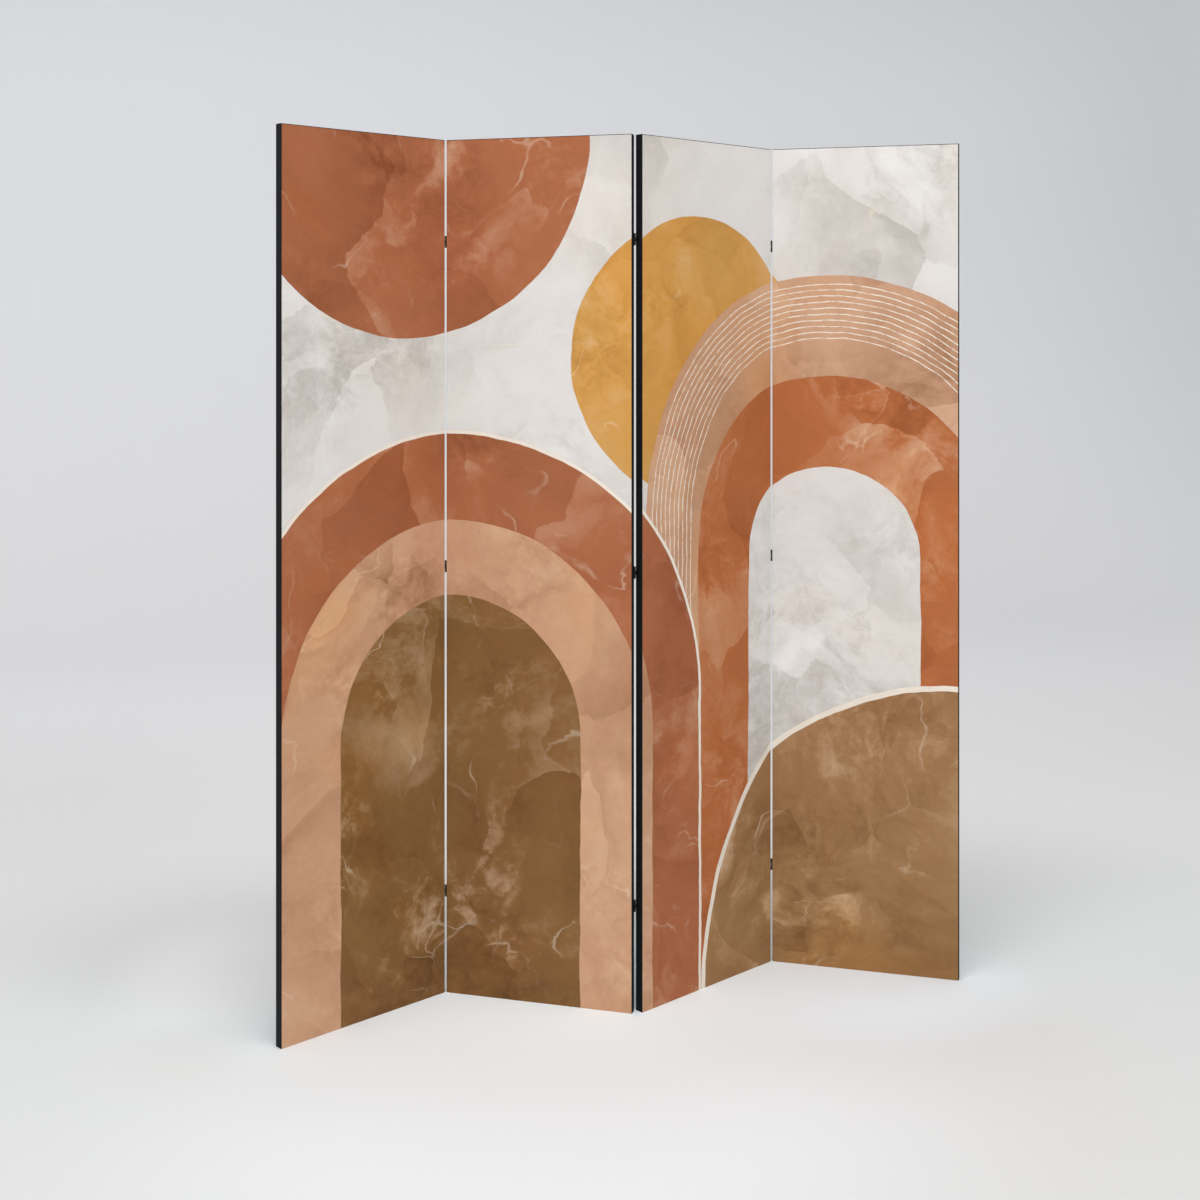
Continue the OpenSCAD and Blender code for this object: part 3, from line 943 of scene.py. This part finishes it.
def staple_press(x, z):
    """How far the nearest staple presses the cloth in, as a share."""
    side = min(abs(x - STAPLES_IN), abs(PANEL_W - STAPLES_IN - x))
    end = min(abs(z - STAPLES_IN), abs(PANEL_H - STAPLES_IN - z))
    pressed = 0.0
    for off, along, staples in ((side, z, STAPLES_UP), (end, x, STAPLES_ACROSS)):
        if off < 0.02:
            near = min(abs(along - staple) for staple in staples)
            pressed = max(pressed, math.exp(-((off / 0.0042) ** 2) - (near / 0.0085) ** 2))
    return pressed


def backing_level(number, x, z):
    """How far the outer face of the backing cloth stands out from the canvas on the frame's back."""
    inside = min(x, PANEL_W - x, z, PANEL_H - z)
    hem = HEM_RISE * (1 - smooth(inside, CLOTH_MARGIN + HEM_W - 0.0012, CLOTH_MARGIN + HEM_W + 0.0006))
    turn = TURN_STEP * smooth(inside, TURN_IN + 0.0005, TURN_IN + 0.006)
    ripple = waves(x * 16, z * 2.6, 11.3 * number)
    crease = waves(x * 38 + z * 9, z * 6.5 - x * 7, 5.7 * number + 2.1)
    side_in, end_in = min(x, PANEL_W - x) - STAPLES_IN, min(z, PANEL_H - z) - STAPLES_IN
    pull = STAPLE_PULL * (edge_pull(z, side_in, STAPLES_UP) + edge_pull(x, end_in, STAPLES_ACROSS))
    sag = bay_sag(x, z) * BACK_SAG * (0.35 + 0.65 * ripple + 0.22 * crease)
    small = 0.00012 * crease * smooth(inside, 0.02, 0.06)
    return CLOTH_T + hem - turn - pull - sag - small - STAPLE_DIMPLE * staple_press(x, z)


def backing_lines(length, staples):
    """Lines over the backing cloth: close at the hem, at the turned canvas and round each staple."""
    hem = [CLOTH_MARGIN, 0.0062, 0.0085, 0.0110, 0.0130, STAPLES_IN, 0.0160, 0.0185]
    step = [0.0215, 0.0228, 0.0238, 0.0262, 0.0300, BAR_W]
    lines = set(mirrored(hem + step, length))
    for staple in staples:
        lines |= {round(staple + off, 7) for off in (-0.0080, -0.0035, 0.0, 0.0035, 0.0080)}
    kept = []
    for line in sorted(lines):
        if not kept or line - kept[-1] > 0.0006:
            kept.append(line)
    return filled(kept, BACKING_GAP)


def make_backing(number, finish):
    """The black cloth over one panel's back: hemmed, stapled at its edge and a little slack."""
    across, up = backing_lines(PANEL_W, STAPLES_ACROSS), backing_lines(PANEL_H, STAPLES_UP)
    points, quads = {}, []
    for i, x in enumerate(across):
        for k, z in enumerate(up):
            points[(i, k)] = Vector((x, SKIN_T + backing_level(number, x, z), z))
    scale = 0.98 / PANEL_H * 2
    for i in range(len(across) - 1):
        for k in range(len(up) - 1):
            keys = [(i, k), (i, k + 1), (i + 1, k + 1), (i + 1, k)]
            cut = [(across[a], up[b]) for a, b in keys]
            upper = (up[k] + up[k + 1]) / 2 > PANEL_H / 2
            left, low = BAKE_EDGE + upper * BACKING_COLUMN, upper * PANEL_H / 2
            bake = [(left + u * scale, BAKE_EDGE + (v - low) * scale) for u, v in cut]
            quads.append((keys, 0, (cut, bake)))
    mesh, _ = thickened(quads, points, CLOTH_T, 0)
    return placed_piece(f"backing_{number}", mesh, number, [finish])


def dress_panel(number, canvas_finishes, backing_finish):
    """Puts the canvas and the backing cloth of one panel in the place of their plain solids."""
    canvas = make_canvas(number, canvas_finishes)
    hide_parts(f"panel_{number}_front_canvas")
    backing = make_backing(number, backing_finish)
    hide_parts(f"panel_{number}_back_cloth")


# The rest of the screen


def finish_hardware():
    """Gives every bar, dowel, staple, screw, pin and leaf its finish."""
    upright = make_pine_finish("Pine, upright grain", None)
    hinge, screw, wire = make_hinge_finish(), make_screw_finish(), make_wire_finish()
    running = {}
    for word, turn in (("right", HALF_FOLD), ("left", -HALF_FOLD)):
        pine, beech = f"Pine, running {word}", f"Beech, running {word}"
        running[turn] = (make_pine_finish(pine, turn), make_dowel_finish(beech, turn))
    for number in PANELS:
        across, dowel = running[panel_turn(number)]
        wood = {"stile": upright, "rail": across, "cross_bars": across, "dowels": dowel}
        metal = {"staples": wire, "hinge_screws": screw, "hinge_pins": hinge, "leaf": hinge}
        for name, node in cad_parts.items():
            for ending, finish in {**wood, **metal}.items():
                if name.startswith(f"panel_{number}_") and name.endswith(ending):
                    node.data.materials.clear()
                    node.data.materials.append(finish)


# Studio

COVE_START = 4.0
COVE_R = 2.6
COVE_STEPS = 24
WALL_H = 9.0
STUDIO_HALF = 16.0
WORLD_TONE = 0.594
STUDIO_AIR = colour(228, 229, 231)

# The haze: the middle of what is clear of it, and how far off it starts and is full
CLEAR_MIDDLE = (1.2, 2.6)
HAZE_FROM = 5.8
HAZE_FULL = 7.8

# Painted light and shade on the floor round the screen's foot: patches painted lighter, most of them cooler,
# where the screen's shade falls, and one painted darker as a shadow left of the first panel's foot. Each: the
# middle, how far it reaches each way, the share of that where it is full, and the paint
FLOOR_LIGHT_AND_SHADE = (
    ((-0.25, -0.55), (1.0, 0.75), 0.3, (232, 235, 237)),
    ((-0.12, 0.12), (1.1, 0.55), 0.2, (246, 252, 255)),
    ((-0.80, 0.34), (0.32, 0.46), 0.2, (242, 241, 240)),
    ((-0.93, -0.10), (0.26, 0.20), 0.2, (222, 222, 221)),
    ((0.50, -0.12), (0.45, 0.36), 0.2, (235, 241, 246)),
)


def from_point(bench, across, back, point, reach=(1.0, 1.0)):
    """How far a place on the floor is from a point, each way as a share of its reach."""
    off = []
    for value, middle, far in zip((across, back), point, reach):
        off.append(bench.math("DIVIDE", bench.minus(value, middle), far))
    return bench.vector("LENGTH", bench.joined(*off))


def for_the_eye(bench):
    """1 where a ray comes from the camera or from a reflection, and 0 where it carries light."""
    sight = bench.node("ShaderNodeLightPath").outputs
    return bench.math("MAXIMUM", sight["Is Camera Ray"], sight["Is Glossy Ray"])


def make_studio_finish():
    """Pale paint with painted light and shade: paler further off, a painted shadow behind the screen to its
    left, painted patches round its foot, painted shade to the right and up the cooler wall.
    """
    bench = Finish("Studio paint", Specular_IOR_Level=0.1)
    place = node_place(bench)
    across, back, height = bench.parts(place)
    # Painted light: the floor is paler behind the screen and far from it, where the lamps' light is weaker
    tone = bench.mixed(bench.rise(back, -0.2, 0.9), colour(221, 222, 222), colour(232, 232, 232))
    tone = bench.mixed(bench.rise(back, 1.0, 3.2), tone, colour(240, 240, 241))
    away = from_point(bench, across, back, (0.0, 0.0))
    tone = bench.mixed(bench.rise(away, 4.4, 9.0), tone, colour(249, 249, 250))
    # Painted shadow on the floor behind the screen to its left
    behind = bench.times(bench.rise(back, -0.3, 0.8), bench.rise(back, 3.6, 1.2))
    painted_shadow_behind = bench.times(behind, bench.rise(across, -0.3, -1.3))
    tone = bench.layered(tone, (painted_shadow_behind, 0.36, (214, 214, 215)))
    # Painted light and shade round the screen's foot, patch by patch
    for middle, reach, full, patch_paint in FLOOR_LIGHT_AND_SHADE:
        share = bench.rise(from_point(bench, across, back, middle, reach), 1.0, full)
        tone = bench.mixed(share, tone, colour(*patch_paint))
    # The wall's own cooler paint, then painted shade: darker to the right and high up the wall
    tone = bench.mixed(bench.rise(height, 0.0, 2.2), tone, colour(245, 246, 249))
    tone = bench.mixed(bench.rise(across, 3.6, 6.6), tone, colour(233, 235, 238))
    tone = bench.mixed(bench.rise(height, 2.6, 4.2), tone, colour(234, 236, 238))
    bench.end(tone, 0.9, bench.noise(place, 60.0, 3.0), 0.0001)

    # Far from the screen the paint fades into the studio air, for the eye alone
    far_off = from_point(bench, across, back, CLEAR_MIDDLE)
    share = bench.times(for_the_eye(bench), bench.rise(far_off, HAZE_FROM, HAZE_FULL))
    haze = bench.fed("ShaderNodeEmission", ("Color",), (STUDIO_AIR,))[0]
    faded = bench.fed("ShaderNodeMixShader", (0, 1, 2), (share, bench.shader.outputs[0], haze))[0]
    bench.feed(bench.surface, faded)
    return bench.material


def make_studio():
    """A floor that curves up into a wall behind the screen."""
    profile = [(-STUDIO_HALF, 0.0), (0.0, 0.0), (COVE_START, 0.0)]
    for i in range(1, COVE_STEPS + 1):
        angle = math.pi / 2 * i / COVE_STEPS
        profile.append((COVE_START + COVE_R * math.sin(angle), COVE_R * (1 - math.cos(angle))))
    profile.append((COVE_START + COVE_R, WALL_H))
    mesh = bmesh.new()
    rows = [[mesh.verts.new((x, y, z)) for y, z in profile] for x in (-STUDIO_HALF, 0.0, STUDIO_HALF)]
    for left, right in zip(rows, rows[1:]):
        for i in range(len(profile) - 1):
            face = mesh.faces.new([left[i], right[i], right[i + 1], left[i + 1]])
            face.smooth = True
    put_mesh("studio", mesh, [make_studio_finish()])


def add_lamp(name, place, aim, size, power):
    """A large soft lamp, aimed at a point."""
    data = bpy.data.lights.new(name, "AREA")
    data.shape = "RECTANGLE"
    data.size, data.size_y = size
    data.energy = power
    lamp = put(name, data)
    lamp.location = place
    lamp.rotation_euler = (Vector(aim) - Vector(place)).to_track_quat("-Z", "Y").to_euler()
    lamp.visible_camera = False


# Each lamp: its place, its aim, its width and height, and its power in watts
LAMPS = {
    "overhead lamp": ((-0.2, -1.5, 5.2), (-0.2, -1.3, 0.0), (3.0, 1.2), 117.0),
    "front lamp": ((-0.8, -5.0, 1.4), (0.0, 0.0, 0.6), (4.0, 1.6), 33.7),
    "side lamp": ((-4.5, -2.0, 1.8), (0.0, 0.0, 0.9), (2.6, 2.6), 30.1),
    "wall lamp": ((-2.0, 1.0, 6.0), (-1.0, 6.6, 2.5), (5.0, 1.5), 37.7),
}


def make_light():
    """A grey world, broad soft lamps above, before and to the left of the screen, and one on the wall."""
    world = bpy.data.worlds.new("Studio air")
    world.use_nodes = True
    bench = Bench(world.node_tree)
    air = bench.mixed(for_the_eye(bench), (WORLD_TONE, WORLD_TONE, WORLD_TONE, 1.0), STUDIO_AIR)
    bench.feed(world.node_tree.nodes["Background"].inputs["Color"], air)
    bpy.context.scene.world = world
    for name, (place, aim, size, power) in LAMPS.items():
        add_lamp(name, place, aim, size, power)


CAMERA_PLACE = (-0.8932, -3.4022, 1.3859)
CAMERA_TURN = math.radians(13.9035)


def make_camera():
    """The photograph's viewpoint: level, from the left, and shifted down to keep the uprights upright."""
    data = bpy.data.cameras.new("camera")
    data.lens = 50.0
    data.sensor_fit = "HORIZONTAL"
    data.shift_y = -0.21989
    data.clip_end = 100.0
    camera = put("camera", data)
    camera.location = CAMERA_PLACE
    camera.rotation_euler = (math.radians(90), 0.0, -CAMERA_TURN)
    bpy.context.scene.camera = camera


canvas_finishes = [make_print_finish(), make_wrap_finish(), make_bare_finish()]
backing_finish = make_backing_finish()
for panel in PANELS:
    dress_panel(panel, canvas_finishes, backing_finish)
finish_hardware()
make_studio()
make_light()
make_camera()
bpy.context.scene.view_settings.view_transform = "Standard"
